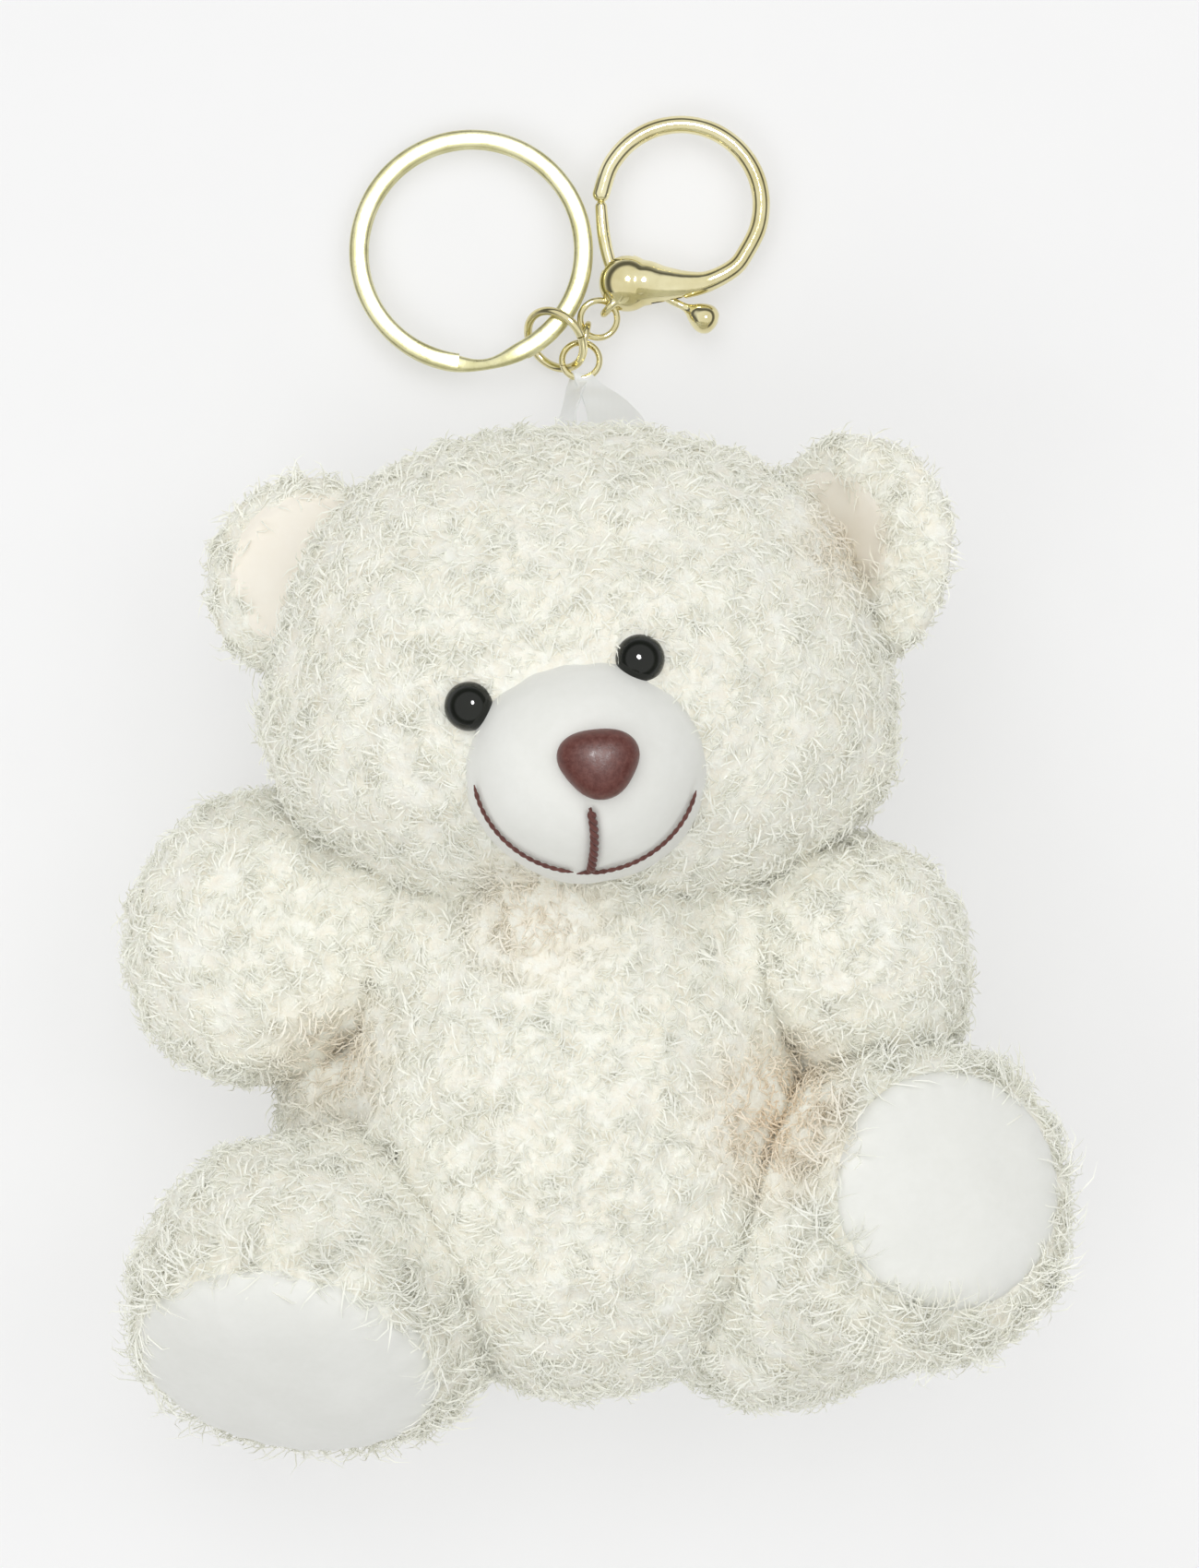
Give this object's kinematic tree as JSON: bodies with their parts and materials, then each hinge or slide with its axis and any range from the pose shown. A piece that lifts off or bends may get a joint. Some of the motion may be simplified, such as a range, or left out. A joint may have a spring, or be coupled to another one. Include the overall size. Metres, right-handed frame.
{
  "type": "plush keychain",
  "caption": "Small stuffed bear of curly pile fabric with safety eyes, a ribbon tab in its crown, a split key ring and a round snap clasp on jump rings",
  "frame": {"origin": "middle of the overall box in X and Y, on the surface the bear lies on", "axes": "+X to the bear's left, +Y from seat to crown and hardware, +Z from back to face"},
  "size_m": [0.1144, 0.1624, 0.0641],
  "materials": {
    "curly_pile": "curly pile",
    "smooth_nap": "short nap",
    "ear_lining": "short nap",
    "wadding": "matt",
    "eye_gloss": "gloss",
    "nose_plastic": "satin",
    "washer_plastic": "matt",
    "brown_thread": "thread",
    "satin_ribbon": "satin",
    "satin_gold": "satin plated",
    "polished_gold": "polished plated",
    "steel": "plain"
  },
  "bodies": {
    "torso": {"torso_front_panel": "curly_pile", "torso_back_panel": "curly_pile", "torso_stuffing": "wadding"},
    "head": {"head_gusset": "curly_pile", "head_panel_right": "curly_pile", "head_panel_left": "curly_pile", "head_stuffing": "wadding", "muzzle_cover": "smooth_nap", "muzzle_stuffing": "wadding", "eye_right": "eye_gloss", "eye_left": "eye_gloss", "eye_washer_right": "washer_plastic", "eye_washer_left": "washer_plastic", "nose": "nose_plastic", "nose_washer": "washer_plastic", "mouth_stitch": "brown_thread", "smile_stitch_right": "brown_thread", "smile_stitch_left": "brown_thread", "ear_back_right": "curly_pile", "ear_back_left": "curly_pile", "ear_lining_right": "ear_lining", "ear_lining_left": "ear_lining"},
    "arm_right": {"arm_front_panel_right": "curly_pile", "arm_back_panel_right": "curly_pile", "arm_stuffing_right": "wadding"},
    "leg_right": {"leg_upper_panel_right": "curly_pile", "leg_lower_panel_right": "curly_pile", "sole_right": "smooth_nap", "leg_stuffing_right": "wadding"},
    "arm_left": {"arm_front_panel_left": "curly_pile", "arm_back_panel_left": "curly_pile", "arm_stuffing_left": "wadding"},
    "leg_left": {"leg_upper_panel_left": "curly_pile", "leg_lower_panel_left": "curly_pile", "sole_left": "smooth_nap", "leg_stuffing_left": "wadding"},
    "ribbon": {"ribbon_loop": "satin_ribbon"},
    "ribbon_ring": {"ribbon_ring": "polished_gold"},
    "key_link": {"key_link": "polished_gold"},
    "key_ring": {"split_key_ring": "satin_gold"},
    "chain_link": {"chain_link": "polished_gold"},
    "clasp_ring": {"clasp_ring": "polished_gold"},
    "clasp": {"clasp_body": "polished_gold", "clasp_pin": "steel", "clasp_spring": "steel"},
    "lever": {"clasp_lever": "polished_gold"}
  },
  "joints": [
    {"name": "neck_nod", "type": "hinge", "parent": "torso", "child": "head", "pos_m": [-0.00121, -0.01261, 0.02], "axis": [1, 0, 0], "range_deg": [-3, 5], "stiffness_Nm_per_rad": 0.4},
    {"name": "shoulder_right", "type": "hinge", "parent": "torso", "child": "arm_right", "pos_m": [-0.02441, -0.01511, 0.017], "axis": [0, 1, 0], "range_deg": [0, 20], "stiffness_Nm_per_rad": 0.06},
    {"name": "shoulder_left", "type": "hinge", "parent": "torso", "child": "arm_left", "pos_m": [0.01959, -0.01661, 0.018], "axis": [0, -1, 0], "range_deg": [0, 16], "stiffness_Nm_per_rad": 0.06},
    {"name": "hip_right", "type": "hinge", "parent": "torso", "child": "leg_right", "pos_m": [-0.01841, -0.05561, 0.018], "axis": [1, 0, 0], "range_deg": [-8, 8], "stiffness_Nm_per_rad": 0.3},
    {"name": "hip_left", "type": "hinge", "parent": "torso", "child": "leg_left", "pos_m": [0.02209, -0.05981, 0.018], "axis": [1, 0, 0], "range_deg": [-8, 8], "stiffness_Nm_per_rad": 0.3},
    {"name": "ribbon_lift", "type": "hinge", "parent": "head", "child": "ribbon", "pos_m": [-0.00151, 0.03999, 0.0245], "axis": [1, 0, 0], "range_deg": [0, 25]},
    {"name": "ribbon_ring_swing", "type": "hinge", "parent": "ribbon", "child": "ribbon_ring", "pos_m": [-0.00131, 0.04882, 0.00384], "axis": [1, 0, 0], "range_deg": [-5, 12]},
    {"name": "key_link_swing", "type": "hinge", "parent": "ribbon_ring", "child": "key_link", "pos_m": [-0.00167, 0.05075, 0.0033], "axis": [0.6947, -0.7193, 0], "range_deg": [0, 8]},
    {"name": "key_ring_swing", "type": "hinge", "parent": "key_link", "child": "key_ring", "pos_m": [-0.00519, 0.05453, 0.00337], "axis": [-0.7193, -0.6947, 0], "range_deg": [0, 25]},
    {"name": "chain_link_swing", "type": "hinge", "parent": "ribbon_ring", "child": "chain_link", "pos_m": [-0.00088, 0.05326, 0.00275], "axis": [0.9781, -0.2079, 0], "range_deg": [-5, 8]},
    {"name": "clasp_ring_swing", "type": "hinge", "parent": "chain_link", "child": "clasp_ring", "pos_m": [-0.00064, 0.05443, 0.00275], "axis": [0.9781, -0.2079, 0], "range_deg": [-5, 8]},
    {"name": "clasp_swing", "type": "hinge", "parent": "clasp_ring", "child": "clasp", "pos_m": [0.00249, 0.05779, 0.0029], "axis": [0.7193, -0.6947, 0], "range_deg": [0, 25]},
    {"name": "lever_open", "type": "hinge", "parent": "clasp", "child": "lever", "pos_m": [0.00679, 0.06029, 0.0029], "axis": [0, 0, -1], "range_deg": [0, 26], "stiffness_Nm_per_rad": 0.002, "springref_deg": -11.46, "deforming": ["clasp_spring"]}
  ]
}
